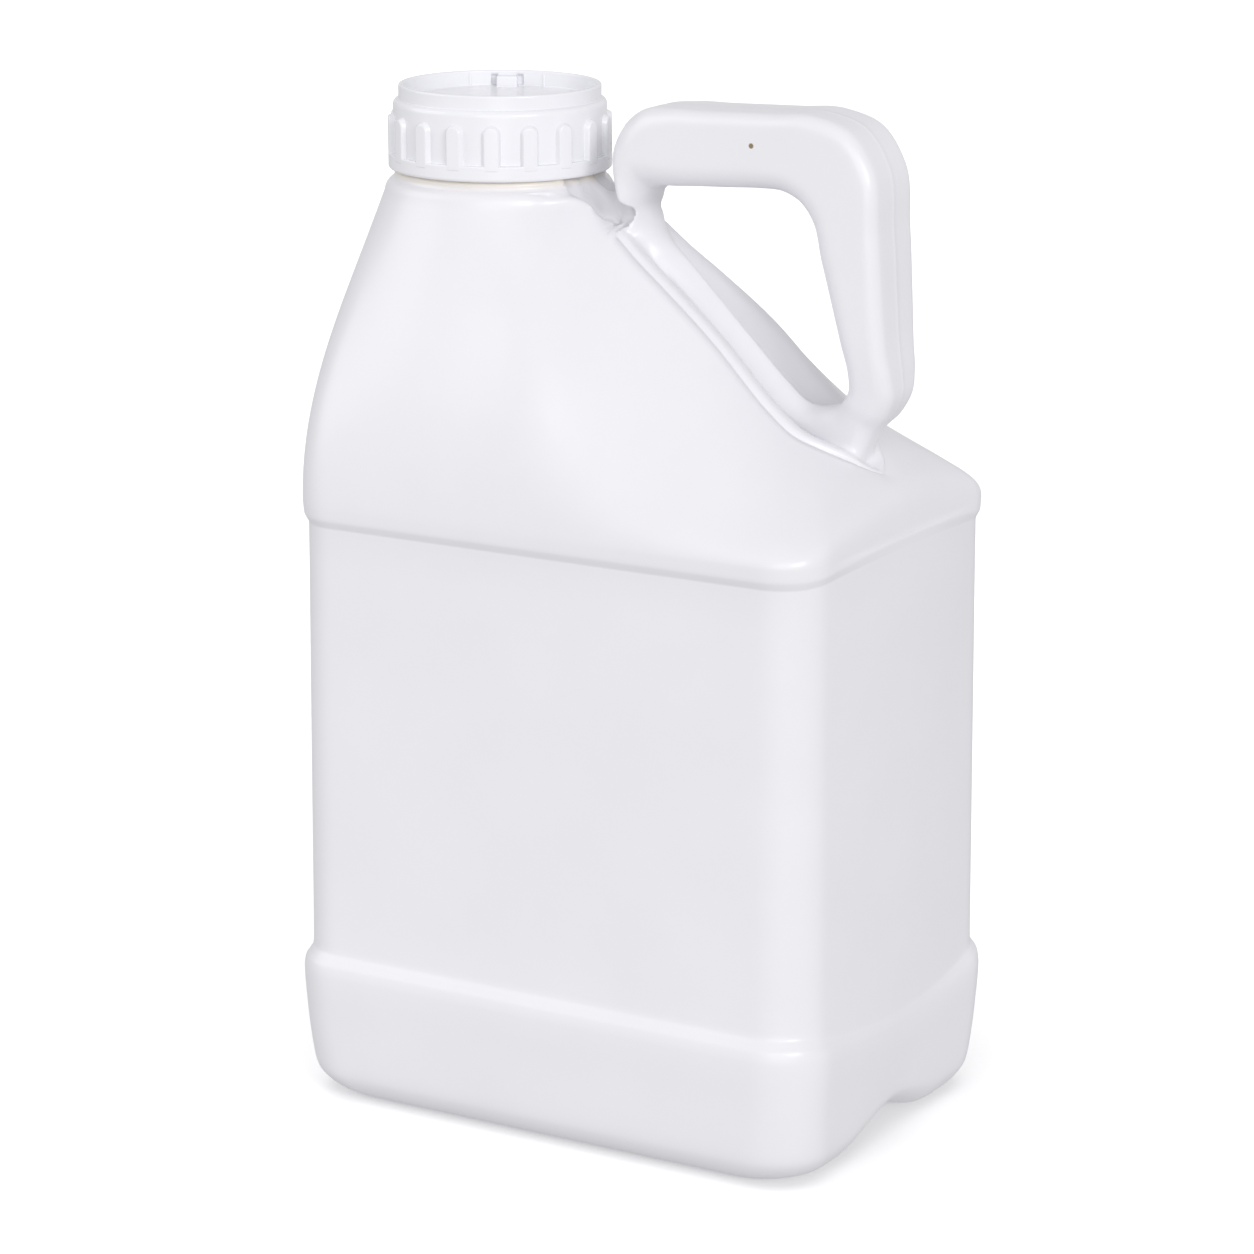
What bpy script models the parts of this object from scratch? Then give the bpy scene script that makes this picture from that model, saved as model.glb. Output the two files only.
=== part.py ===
"""A blow-moulded plastic jug with an offset neck, a loop handle and a ribbed screw cap.

X runs along the long side towards the handle, Y from the front to the back, Z is up.
The jug stands on the floor with the middle of its foot at the origin.
"""
import math

import bmesh
import bpy
import numpy as np
from mathutils import Vector

MM = 0.001

# Lower body: a rounded box with a foot band, a recessed label panel and crowned short ends
BAND_HALF_LENGTH = 95.3
BAND_HALF_WIDTH = 66.8
BAND_CORNER = 18.5
FOOT_FILLET = 14.0
FOOT_CORNER = 19.5
BAND_TAPER = 1.9
BAND_TOP = 49.4
BAND_DIP = 6.0
PANEL_INSET = 3.2
PANEL_DRAFT = 0.9
PANEL_CROWN = 2.6
PANEL_TOP = 190.7
SHOULDER_INSET = 2.2
SHOULDER_START = 197.0

# Base: a shallow push-up inside the flat foot, and a finger grip under the handle end
PUSH_UP = 2.5
GRIP_HEIGHT = 9.0
GRIP_HALF_WIDTH = 33.0
GRIP_START = 46.0
GRIP_FADE = 40.0

# Neck, offset towards the end without the handle
NECK_X = -52.1
NECK_FOOT_RADIUS = 36.6
NECK_FOOT_Z = 291.0
NECK_RADIUS = 31.2
NECK_TOP = 317.2
NECK_RING_RADIUS = 33.4
NECK_RING_TOP = 297.2
NECK_FLARE = 0.40

# Two ridges run down the sloping side and meet at the handle end
RIDGE_ANGLE = 41.0
RIDGE_HEIGHT = 1.6
RIDGE_WIDTH = 2.2
TROUGH_DEPTH = 3.2
TROUGH_SHARE = 0.45

# Handle: a tube around the hole, thickest at the grip
GRIP_HALF_THICKNESS = 14.0

# Slot between the neck and the handle, with a thin web left in the middle
SLOT_X = -2.4
SLOT_Z = 288.2
SLOT_RADIUS = 4.2
SLOT_LEAN = 44.0
SLOT_DEEPER = 4.0
SLOT_LENGTH = 16.0
WEB_HALF_THICKNESS = 1.8

# Screw cap
CAP_RIM_RADIUS = 31.95
CAP_WALL_RADIUS = 33.7
CAP_RIB_RADIUS = 35.3
CAP_TOP = 324.4
CAP_BOTTOM = 298.05
CAP_BORE_RADIUS = 31.9
CAP_RECESS_RADIUS = 30.3
CAP_RECESS_DEPTH = 5.0
CAP_FLOOR = 1.6
RIB_COUNT = 18
RIB_WIDTH = 5.1
RIB_TOP = 315.2
RIB_BOTTOM = 303.0
RIB_FIRST_ANGLE = -62.4

# Facets
SIDE_STEPS = 5
CORNER_STEPS = 5
LONG_STEPS = 16
SHOULDER_RINGS = 9
LOOP_STATIONS = 56
SECTION_POINTS = 20


def clear_scene():
    for old in list(bpy.data.objects):
        bpy.data.objects.remove(old, do_unlink=True)


def smooth(value):
    """Runs from 0 to 1 with level ends."""
    value = np.clip(value, 0.0, 1.0)
    return value * value * (3.0 - 2.0 * value)


def smooth_through(where, keys, values, period=None):
    """A smooth curve through key values, read at the given places."""
    keys = np.asarray(keys, float)
    values = np.asarray(values, float)
    if period is not None:
        keys = np.concatenate([keys[-2:] - period, keys, keys[:2] + period])
        values = np.concatenate([values[-2:], values, values[:2]])
    slopes = np.gradient(values, keys)
    where = np.asarray(where, float)
    place = np.clip(np.searchsorted(keys, where, side="right") - 1, 0, len(keys) - 2)
    step = keys[place + 1] - keys[place]
    share = np.clip((where - keys[place]) / step, 0.0, 1.0)
    square, cube = share ** 2, share ** 3
    start = (2 * cube - 3 * square + 1) * values[place] + (cube - 2 * square + share) * step * slopes[place]
    end = (3 * square - 2 * cube) * values[place + 1] + (cube - square) * step * slopes[place + 1]
    return start + end


def front_outline(half_length, half_width, corner):
    """The front half of a rounded rectangle, from the middle of the left end to the right end."""
    flat_x = half_length - corner
    flat_y = half_width - corner
    points = [(-half_length, -flat_y * k / SIDE_STEPS) for k in range(SIDE_STEPS)]
    for k in range(CORNER_STEPS):
        angle = math.pi * (1.0 + 0.5 * k / CORNER_STEPS)
        points.append((-flat_x + corner * math.cos(angle), -flat_y + corner * math.sin(angle)))
    points += [(-flat_x + 2.0 * flat_x * k / LONG_STEPS, -half_width) for k in range(LONG_STEPS)]
    for k in range(CORNER_STEPS):
        angle = math.pi * (1.5 + 0.5 * k / CORNER_STEPS)
        points.append((flat_x + corner * math.cos(angle), -flat_y + corner * math.sin(angle)))
    points += [(half_length, -flat_y * (1.0 - k / SIDE_STEPS)) for k in range(SIDE_STEPS + 1)]
    return np.array(points)


def end_share(outline, half_length, half_width, corner):
    """1 in the middle of a short end, 0 at its corners and along the long sides."""
    along = np.clip(np.abs(outline[:, 1]) / (half_width - 0.4 * corner), 0.0, 1.0)
    at_end = np.abs(outline[:, 0]) > half_length - 0.6 * corner
    return np.where(at_end, 1.0 - along ** 2, 0.0)


def body_ring(z, inset, crown=0.0, dip=0.0, corner=None):
    """One level ring of the lower body, inset from the foot band's outline."""
    half_length = BAND_HALF_LENGTH - inset
    half_width = BAND_HALF_WIDTH - inset
    if corner is None:
        corner = BAND_CORNER - inset
    outline = front_outline(half_length, half_width, corner)
    share = end_share(outline, half_length, half_width, corner)
    x = outline[:, 0] + np.sign(outline[:, 0]) * crown * share
    return np.column_stack([x, outline[:, 1], z - dip * share])


def lift_for_grip(ring):
    """Raises the base into an arch under the handle end, as a finger grip."""
    x, y, z = ring.T
    arch = smooth(1.0 - np.abs(y) / GRIP_HALF_WIDTH)
    reach = smooth((x - GRIP_START) / GRIP_FADE)
    fade = np.clip(1.0 - z / 42.0, 0.0, 1.0) ** 2
    lifted = ring.copy()
    lifted[:, 2] = z + GRIP_HEIGHT * arch * reach * fade
    return lifted


def lower_rings():
    """Rings from the middle of the base up to the start of the shoulder."""
    inner = BAND_TAPER + FOOT_FILLET
    rings = []
    for reach in (36.0, 24.0, 14.0):
        rings.append(body_ring(PUSH_UP, inner + reach, corner=FOOT_CORNER - 0.4 * reach))
    rings.append(body_ring(0.0, inner + 8.0, corner=FOOT_CORNER))
    for k in range(6):
        angle = 0.5 * math.pi * k / 5
        inset = BAND_TAPER + FOOT_FILLET * (1.0 - math.sin(angle))
        corner = FOOT_CORNER + (BAND_CORNER - FOOT_CORNER) * k / 5
        rings.append(body_ring(FOOT_FILLET * (1.0 - math.cos(angle)), inset, corner=corner))
    rings.append(body_ring(28.0, 0.5 * BAND_TAPER, 0.2, 0.5 * BAND_DIP))
    for above, inset in ((-6.5, 0.0), (-3.0, 0.5), (-0.8, 1.9), (1.0, 3.0)):
        crown = 0.2 + inset / PANEL_INSET * PANEL_CROWN
        rings.append(body_ring(BAND_TOP + above, inset, crown, BAND_DIP))
    rings.append(body_ring(BAND_TOP + 3.0, PANEL_INSET, PANEL_CROWN + 0.2, 0.8 * BAND_DIP))
    for share in (0.25, 0.62):
        z = BAND_TOP + (PANEL_TOP - BAND_TOP) * share
        rings.append(body_ring(z, PANEL_INSET + PANEL_DRAFT * share, PANEL_CROWN + 0.2))
    last = PANEL_INSET + PANEL_DRAFT
    for above, inset in ((-0.8, last), (0.5, last - 0.6), (2.4, SHOULDER_INSET + 0.4)):
        rings.append(body_ring(PANEL_TOP + above, inset, inset / PANEL_INSET * PANEL_CROWN, -3.0))
    return [lift_for_grip(ring) for ring in rings]


# The ridge's foot line: share along the outline, x, distance from the middle plane, z
RIDGE_KEYS = (
    (0.44, -29.0, 28.5, 291.0),
    (0.49, -20.8, 19.2, 291.0),
    (0.515, -15.8, 15.6, 291.6),
    (0.54, -10.0, 14.6, 289.6),
    (0.57, -3.0, 15.0, 284.2),
    (0.615, 7.0, 16.2, 275.8),
    (0.67, 19.0, 17.8, 266.9),
    (0.75, 37.0, 19.8, 252.6),
    (0.83, 56.0, 20.7, 234.2),
    (0.872, 64.0, 20.2, 227.8),
    (0.915, 71.5, 16.6, 223.6),
    (0.95, 78.5, 10.6, 219.4),
    (0.98, 83.5, 4.8, 215.8),
    (1.0, 85.4, 0.0, 213.9),
)


def ridge_line(share):
    """The outer foot of the neck and of the ridge, seen from 0 at the left to 1 at the handle end."""
    angles = np.radians(smooth_through(share, (0.0, 0.1, 0.2, 0.42, 0.5), (180.0, 213.0, 240.0, 305.0, 330.0)))
    circle_x = NECK_X + NECK_FOOT_RADIUS * np.cos(angles)
    circle_y = NECK_FOOT_RADIUS * np.sin(angles)
    keys = [key[0] for key in RIDGE_KEYS]
    slope_x = smooth_through(share, keys, [key[1] for key in RIDGE_KEYS])
    slope_y = smooth_through(share, keys, [-key[2] for key in RIDGE_KEYS])
    slope_z = smooth_through(share, keys, [key[3] for key in RIDGE_KEYS])
    blend = smooth((share - 0.45) / 0.05)
    x = circle_x + (slope_x - circle_x) * blend
    y = circle_y + (slope_y - circle_y) * blend
    z = NECK_FOOT_Z + (slope_z - NECK_FOOT_Z) * blend
    return np.column_stack([x, y, z])


def shoulder_rings():
    """Rings over the shoulder, from the vertical sides to the neck and the two ridges."""
    base = body_ring(SHOULDER_START, SHOULDER_INSET, 0.7)
    count = len(base)
    first_corner = SIDE_STEPS + CORNER_STEPS
    marks = (0, SIDE_STEPS, first_corner, first_corner + 0.36 * LONG_STEPS, first_corner + LONG_STEPS,
             first_corner + LONG_STEPS + CORNER_STEPS, count - 1)
    share = smooth_through(np.arange(count), marks, (0.0, 0.1, 0.2, 0.44, 0.84, 0.915, 1.0))
    top = ridge_line(share)
    # The virtual corner between the upright side and the slope; it climbs in an S towards the neck
    edge_x = (-95.0, -20.0, -4.0, 1.0, 8.0, 16.0, 26.0, 38.0, 58.0, 75.0, 95.0)
    edge_z = (262.0, 258.0, 248.0, 242.5, 233.0, 224.0, 215.5, 209.0, 204.5, 203.5, 203.0)
    end_rise = 8.0 * end_share(base, BAND_HALF_LENGTH, BAND_HALF_WIDTH, BAND_CORNER)
    edge = base.copy()
    edge[:, 2] = smooth_through(base[:, 0], edge_x, edge_z) + np.where(base[:, 0] > 0, end_rise, 0.0)
    slope_share = smooth((base[:, 0] + 46.0) / 46.0)[:, None]
    height = NECK_FOOT_Z - SHOULDER_START
    away = top - np.array([NECK_X, 0.0, 0.0])
    away[:, 2] = 0.0
    away /= np.linalg.norm(away, axis=1)[:, None]
    cone_low = base + np.array([0.0, 0.0, 0.4 * height])
    flare = (NECK_FLARE - 0.06 * end_share(base, BAND_HALF_LENGTH, BAND_HALF_WIDTH, BAND_CORNER))[:, None]
    cone_high = top + away * flare * height / 3.0 - np.array([0.0, 0.0, height / 3.0])
    slope_low = base + (edge - base) * 0.8
    slope_high = top + (edge - top) * (0.8 + 0.14 * smooth((share - 0.84) / 0.08))[:, None]
    low = cone_low + (slope_low - cone_low) * slope_share
    high = cone_high + (slope_high - cone_high) * slope_share
    rings = []
    for k in range(SHOULDER_RINGS + 1):
        t = k / SHOULDER_RINGS
        lower_half = base * (1 - t) ** 3 + low * 3 * t * (1 - t) ** 2
        upper_half = high * 3 * t * t * (1 - t) + top * t ** 3
        rings.append(lower_half + upper_half)
    return rings, top, share


def crown_rings(top, share):
    """The ridge bead, the trough inside it and the flat under the neck."""
    slope = smooth((share - 0.44) / 0.12)[:, None]
    tilt = math.radians(RIDGE_ANGLE)
    outwards = np.array([0.0, 0.0, 1.0]) * (1 - slope) + np.array([math.sin(tilt), 0.0, math.cos(tilt)]) * slope
    centre = np.where(slope > 0.5, top * np.array([1.0, 0.0, 1.0]), np.array([NECK_X, 0.0, 0.0]))
    inward = centre - top
    inward[:, 2] = 0.0
    length = np.maximum(np.linalg.norm(inward, axis=1)[:, None], 1e-6)
    end = smooth((share - 0.93) / 0.07)[:, None]
    inward = inward / length * (1 - end) + np.array([-1.0, 0.0, 0.2]) * end
    bead = RIDGE_HEIGHT * smooth((share - 0.5) / 0.12)[:, None] + 2.0 * (1 - slope)
    crest = top + inward * RIDGE_WIDTH + outwards * bead
    inner = top + inward * 2.0 * RIDGE_WIDTH + outwards * (0.8 * bead - 0.5 * slope)
    floor = inner * np.array([1.0, TROUGH_SHARE, 1.0]) - outwards * TROUGH_DEPTH * slope * (1 - 0.6 * end)
    return [crest, inner, floor]


def full_ring(front):
    """Adds the mirrored back half to a front half ring."""
    back = front[-2:0:-1] * np.array([1.0, -1.0, 1.0])
    return np.concatenate([front, back])


def mesh_object(name, bm):
    bmesh.ops.recalc_face_normals(bm, faces=bm.faces)
    mesh = bpy.data.meshes.new(name)
    bm.to_mesh(mesh)
    bm.free()
    made = bpy.data.objects.new(name, mesh)
    bpy.context.scene.collection.objects.link(made)
    return made


def add_rings(bm, rings):
    """Joins closed rings of points, each to the next, and returns their vertices."""
    rows = [[bm.verts.new(Vector(point) * MM) for point in ring] for ring in rings]
    for low, high in zip(rows, rows[1:]):
        for k in range(len(low)):
            j = (k + 1) % len(low)
            bm.faces.new((low[k], low[j], high[j], high[k]))
    return rows


def close_across(bm, row):
    """Closes a symmetric ring with strips from its front half to its back half."""
    count = len(row)
    half = count // 2
    for k in range(half):
        front_now, front_next = row[k], row[k + 1]
        back_now, back_next = row[(count - k) % count], row[count - k - 1]
        corners = []
        for vertex in (front_now, front_next, back_next, back_now):
            if vertex not in corners:
                corners.append(vertex)
        bm.faces.new(corners)


def make_shell():
    """The body without its neck and handle."""
    shoulder, top, share = shoulder_rings()
    rings = lower_rings() + shoulder + crown_rings(top, share)
    bm = bmesh.new()
    rows = add_rings(bm, [full_ring(ring) for ring in rings])
    bm.faces.new(rows[0])
    close_across(bm, rows[-1])
    return mesh_object("jug_body", bm)


def make_lathe(name, profile, steps, centre_x):
    """Turns a profile of (radius, height) pairs around an upright axis."""
    bm = bmesh.new()
    rings = []
    for radius, z in profile:
        angles = [2.0 * math.pi * k / steps for k in range(steps)]
        rings.append([(centre_x + radius * math.cos(a), radius * math.sin(a), z) for a in angles])
    rows = add_rings(bm, rings)
    bm.faces.new(rows[0])
    bm.faces.new(rows[-1])
    return mesh_object(name, bm)


def make_neck():
    profile = [(NECK_RADIUS, NECK_FOOT_Z - 8.0), (NECK_RADIUS, NECK_FOOT_Z + 1.2),
               (NECK_RING_RADIUS, NECK_FOOT_Z + 2.2), (NECK_RING_RADIUS, NECK_RING_TOP - 0.5),
               (NECK_RING_RADIUS - 0.8, NECK_RING_TOP), (NECK_RADIUS, NECK_RING_TOP),
               (NECK_RADIUS, NECK_TOP - 0.8), (NECK_RADIUS - 0.8, NECK_TOP)]
    return make_lathe("neck", profile, 72, NECK_X)


# Handle stations around the hole: hole edge x and z, rim x and z, half thickness,
# and how square the section is towards the rim and towards the hole
HANDLE_KEYS = (
    (9.5, 297.4, 4.0, 320.6, 14.0, 3.4, 2.5),
    (26.0, 298.2, 26.0, 322.8, 14.0, 4.4, 2.6),
    (45.0, 299.1, 50.0, 323.5, 14.0, 4.4, 2.6),
    (54.6, 298.0, 67.0, 323.8, 14.0, 4.4, 2.6),
    (60.0, 294.2, 80.6, 319.6, 14.0, 4.4, 2.6),
    (63.0, 287.0, 87.2, 307.5, 14.0, 4.4, 2.6),
    (66.0, 277.0, 89.2, 285.0, 13.8, 4.4, 2.6),
    (69.9, 262.5, 90.6, 264.0, 13.0, 4.2, 2.5),
    (74.2, 246.5, 91.8, 247.0, 11.4, 3.8, 2.4),
    (75.2, 240.5, 90.6, 237.2, 9.6, 3.0, 2.2),
    (72.6, 236.3, 85.0, 228.8, 7.6, 2.2, 2.0),
    (69.4, 234.2, 82.0, 221.0, 6.4, 2.0, 2.0),
    (65.5, 233.3, 76.0, 211.0, 6.8, 2.0, 2.0),
    (58.0, 234.4, 52.0, 217.5, 8.2, 2.0, 2.0),
    (50.5, 240.6, 38.5, 229.5, 9.0, 2.0, 2.0),
    (33.7, 256.9, 21.5, 245.5, 9.0, 2.0, 2.0),
    (16.0, 274.3, 3.0, 263.5, 9.4, 2.0, 2.0),
    (6.4, 283.4, -4.5, 277.5, 11.0, 1.8, 1.9),
    (3.6, 289.8, -8.9, 296.0, 13.0, 1.25, 1.8),
    (5.0, 294.2, -8.0, 310.6, 13.6, 1.5, 2.1),
)


def make_handle():
    """A closed tube around the hole, from rounded sections that each reach from hole to rim."""
    keys = np.array(HANDLE_KEYS)
    middle = 0.5 * (keys[:, 0:2] + keys[:, 2:4])
    gaps = np.linalg.norm(np.roll(middle, -1, axis=0) - middle, axis=1)
    at_key = np.concatenate([[0.0], np.cumsum(gaps)[:-1]])
    length = gaps.sum()
    stations = length * np.arange(LOOP_STATIONS) / LOOP_STATIONS
    values = [smooth_through(stations, at_key, keys[:, k], length) for k in range(7)]
    rings = []
    for hole_x, hole_z, rim_x, rim_z, thick, rim_square, hole_square in zip(*values):
        hole = np.array([hole_x, 0.0, hole_z])
        rim = np.array([rim_x, 0.0, rim_z])
        centre = 0.5 * (hole + rim)
        reach = 0.5 * (rim - hole)
        ring = []
        for k in range(SECTION_POINTS):
            angle = 2.0 * math.pi * (k + 0.5) / SECTION_POINTS
            out, side = math.cos(angle), math.sin(angle)
            power = 2.0 / (rim_square if out > 0 else hole_square)
            out = math.copysign(abs(out) ** power, out)
            side = math.copysign(abs(side) ** power, side)
            ring.append(centre + reach * out + np.array([0.0, thick * side, 0.0]))
        rings.append(ring)
    bm = bmesh.new()
    add_rings(bm, rings + [rings[0]])
    bmesh.ops.remove_doubles(bm, verts=bm.verts, dist=0.01 * MM)
    return mesh_object("handle", bm)


def make_prism(name, outline, y_from, y_to):
    """A straight prism along Y over an outline of (x, z) pairs."""
    bm = bmesh.new()
    rings = [[(x, y, z) for x, z in outline] for y in (y_from, y_to)]
    rows = add_rings(bm, rings)
    bm.faces.new(rows[0])
    bm.faces.new(rows[1])
    return mesh_object(name, bm)


def make_web():
    """The thin web that joins the neck and the handle across the slot."""
    outline = [(-24.0, 282.0), (-24.0, 296.6), (-17.5, 296.6), (-9.6, 293.4), (-4.0, 293.0), (2.0, 276.0)]
    return make_prism("web", outline, -2.0 * WEB_HALF_THICKNESS, 2.0 * WEB_HALF_THICKNESS)


def make_slot(side, deeper, reach):
    """A leaning slot with a round lower end, on one side of the web."""
    lean = math.radians(SLOT_LEAN)
    start_x = SLOT_X - deeper * math.cos(lean)
    start_z = SLOT_Z - deeper * math.sin(lean)
    outline = []
    for k in range(9):
        angle = math.pi * (1.0 + k / 8.0) + lean
        outline.append((start_x + SLOT_RADIUS * math.cos(angle), start_z + SLOT_RADIUS * math.sin(angle)))
    for across in (1.0 + 0.5 * deeper / SLOT_RADIUS, -1.0):
        outline.append((start_x - SLOT_LENGTH * math.sin(lean) + across * SLOT_RADIUS * math.cos(lean),
                        start_z + SLOT_LENGTH * math.cos(lean) + across * SLOT_RADIUS * math.sin(lean)))
    return make_prism("slot", outline, side * (WEB_HALF_THICKNESS + 0.1 * deeper), side * reach)


def combine(target, tool, operation):
    """Applies one exact Boolean with another object, which is then removed."""
    modifier = target.modifiers.new("combine", "BOOLEAN")
    modifier.operation = operation
    modifier.solver = "EXACT"
    modifier.object = tool
    graph = bpy.context.evaluated_depsgraph_get()
    result = bpy.data.meshes.new_from_object(target.evaluated_get(graph))
    target.modifiers.remove(modifier)
    target.data = result
    bpy.data.objects.remove(tool, do_unlink=True)


def make_rib():
    """One arch-topped rib on the cap, set at the angle zero side."""
    bm = bmesh.new()
    half = 0.5 * RIB_WIDTH
    outline = [(-half, RIB_BOTTOM - 1.0), (half, RIB_BOTTOM - 1.0)]
    for k in range(6):
        angle = math.pi * k / 5
        outline.append((half * math.cos(angle), RIB_TOP - half + half * math.sin(angle)))
    rings = []
    for radius, shrink in ((CAP_WALL_RADIUS - 0.6, 1.0), (CAP_RIB_RADIUS, 0.88)):
        lower = (1.0 - shrink) * half
        rings.append([(radius, y * shrink, z - lower if z > RIB_BOTTOM else z) for y, z in outline])
    rows = add_rings(bm, rings)
    bm.faces.new(rows[0])
    bm.faces.new(rows[1])
    return bm


def make_ribs():
    """All ribs of the cap in one object."""
    joined = bmesh.new()
    for k in range(RIB_COUNT):
        rib = make_rib()
        angle = math.radians(RIB_FIRST_ANGLE + 360.0 * k / RIB_COUNT)
        turned = [joined.verts.new(Vector((
            NECK_X * MM + v.co.x * math.cos(angle) - v.co.y * math.sin(angle),
            v.co.x * math.sin(angle) + v.co.y * math.cos(angle),
            v.co.z))) for v in rib.verts]
        rib.verts.index_update()
        for face in rib.faces:
            joined.faces.new([turned[v.index] for v in face.verts])
        rib.free()
    return mesh_object("ribs", joined)


def make_cap():
    """The screw cap: hollow below, with a shallow recess in its top."""
    floor = CAP_TOP - CAP_RECESS_DEPTH
    under = floor - CAP_FLOOR
    profile = [(CAP_BORE_RADIUS - 6.0, under), (CAP_BORE_RADIUS, under), (CAP_BORE_RADIUS, CAP_BOTTOM),
               (CAP_RIB_RADIUS - 0.5, CAP_BOTTOM), (CAP_RIB_RADIUS, CAP_BOTTOM + 0.6),
               (CAP_RIB_RADIUS, RIB_BOTTOM - 0.6), (CAP_WALL_RADIUS, RIB_BOTTOM),
               (CAP_WALL_RADIUS, CAP_TOP - 7.0), (CAP_WALL_RADIUS - 0.5, CAP_TOP - 6.0),
               (CAP_RIM_RADIUS, CAP_TOP - 5.2), (CAP_RIM_RADIUS, CAP_TOP - 0.5), (CAP_RIM_RADIUS - 0.5, CAP_TOP),
               (CAP_RECESS_RADIUS + 0.3, CAP_TOP), (CAP_RECESS_RADIUS, CAP_TOP - 0.5),
               (CAP_RECESS_RADIUS, floor + 0.5), (CAP_RECESS_RADIUS - 0.8, floor)]
    cap = make_lathe("screw_cap", profile, 72, NECK_X)
    combine(cap, make_ribs(), "UNION")
    boss_angle = math.radians(RIB_FIRST_ANGLE + 180.0)
    boss = make_boss(boss_angle, floor)
    combine(cap, boss, "UNION")
    return cap


def make_boss(angle, floor):
    """A small block on the wall of the cap's recess."""
    bm = bmesh.new()
    bmesh.ops.create_cube(bm, size=1.0)
    for vertex in bm.verts:
        radius = CAP_RECESS_RADIUS - 1.6 + 4.0 * vertex.co.x
        side = 7.0 * vertex.co.y
        vertex.co = Vector((
            NECK_X + radius * math.cos(angle) - side * math.sin(angle),
            radius * math.sin(angle) + side * math.cos(angle),
            floor + 1.6 + 3.6 * vertex.co.z)) * MM
    return mesh_object("boss", bm)


def make_jug():
    jug = make_shell()
    combine(jug, make_neck(), "UNION")
    combine(jug, make_handle(), "UNION")
    combine(jug, make_web(), "UNION")
    for side in (-1, 1):
        combine(jug, make_slot(side, SLOT_DEEPER, 11.0), "DIFFERENCE")
        combine(jug, make_slot(side, 0.0, 32.0), "DIFFERENCE")
    return jug


def add_material(target, name, colour, roughness):
    material = bpy.data.materials.new(name)
    material.use_nodes = True
    shader = material.node_tree.nodes["Principled BSDF"]
    shader.inputs["Base Color"].default_value = (*colour, 1.0)
    shader.inputs["Roughness"].default_value = roughness
    target.data.materials.clear()
    target.data.materials.append(material)
    for face in target.data.polygons:
        face.use_smooth = True


clear_scene()
jug_body = make_jug()
screw_cap = make_cap()
add_material(jug_body, "milky_plastic", (0.80, 0.79, 0.83), 0.42)
add_material(screw_cap, "cap_plastic", (0.80, 0.80, 0.83), 0.32)
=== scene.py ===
import math

import bmesh
import bpy
import numpy as np
from mathutils import Matrix, Vector
from mathutils.kdtree import KDTree


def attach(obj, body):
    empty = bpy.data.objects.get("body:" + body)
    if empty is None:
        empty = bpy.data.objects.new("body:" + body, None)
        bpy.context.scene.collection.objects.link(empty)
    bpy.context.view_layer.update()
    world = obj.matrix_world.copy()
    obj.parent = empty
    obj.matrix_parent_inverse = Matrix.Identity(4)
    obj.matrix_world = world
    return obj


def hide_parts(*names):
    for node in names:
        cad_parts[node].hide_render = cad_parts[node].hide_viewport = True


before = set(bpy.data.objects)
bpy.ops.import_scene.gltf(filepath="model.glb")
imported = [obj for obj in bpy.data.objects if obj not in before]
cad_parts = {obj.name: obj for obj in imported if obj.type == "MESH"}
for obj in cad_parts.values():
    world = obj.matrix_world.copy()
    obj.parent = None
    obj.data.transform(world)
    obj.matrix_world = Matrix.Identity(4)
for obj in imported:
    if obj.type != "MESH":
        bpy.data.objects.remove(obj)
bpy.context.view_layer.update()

MM = 0.001

# Sizes of the jug, in millimetres
BAND_HALF_LENGTH = 95.3
BAND_HALF_WIDTH = 66.8
BAND_CORNER = 18.5
FOOT_FILLET = 14.0
FOOT_CORNER = 19.5
BAND_TAPER = 1.9
BAND_TOP = 49.4
BAND_DIP = 6.0
PANEL_INSET = 3.2
PANEL_DRAFT = 0.9
PANEL_CROWN = 2.6
PANEL_TOP = 190.7
SHOULDER_INSET = 2.2
SHOULDER_START = 197.0
PUSH_UP = 2.5
GRIP_HEIGHT = 9.0
GRIP_HALF_WIDTH = 33.0
GRIP_START = 46.0
GRIP_FADE = 40.0
GRIP_FADE_HEIGHT = 42.0
END_RISE = 8.0
NECK_X = -52.1
NECK_FOOT_RADIUS = 36.6
NECK_FOOT_Z = 291.0
NECK_RADIUS = 31.2
NECK_TOP = 317.2
NECK_RING_RADIUS = 33.4
NECK_RING_TOP = 297.9
NECK_FLARE = 0.40
RIDGE_ANGLE = 41.0
TROUGH_SHARE = 0.60
SLOT_X = -2.4
SLOT_Z = 288.2
SLOT_RADIUS = 4.2
SLOT_LEAN = 44.0
SLOT_LENGTH = 16.0
WEB_HALF_THICKNESS = 1.8
# Joins nearer the neck than this stay crisp, and those in the slot are rounded only a little
SOFT_FROM_X = -22.0
SLOT_SOFTNESS = 0.15
SEAM_RISE = 0.06
SEAM_HALF_WIDTH = 0.25
NEEDLE_MARK = (45.95, -14.0, 313.5)
NEEDLE_RADIUS = 1.0

# Screw cap
CAP_RIM_RADIUS = 31.95
CAP_WALL_RADIUS = 33.7
CAP_RIB_RADIUS = 35.3
CAP_TOP = 324.4
CAP_BOTTOM = 298.05
CAP_BORE_RADIUS = 31.9
CAP_RECESS_RADIUS = 30.3
CAP_RECESS_DEPTH = 5.0
CAP_FLOOR = 1.6
RIB_COUNT = 18
RIB_WIDTH = 5.1
RIB_TOP = 315.2
RIB_BOTTOM = 303.0
RIB_FIRST_ANGLE = -62.4
# In the recess, as depth, width and height: the block, the pockets beside it and the lines on the wall,
# with the angles of the pockets and lines from the block
BOSS_SIZE = (4.0, 6.6, 3.9)
POCKET_SIZE = (2.4, 2.4, 3.4)
POCKET_ANGLE = 7.6
LINE_SIZE = (0.7, 0.9, 4.6)
LINE_ANGLE = 23.0

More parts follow.
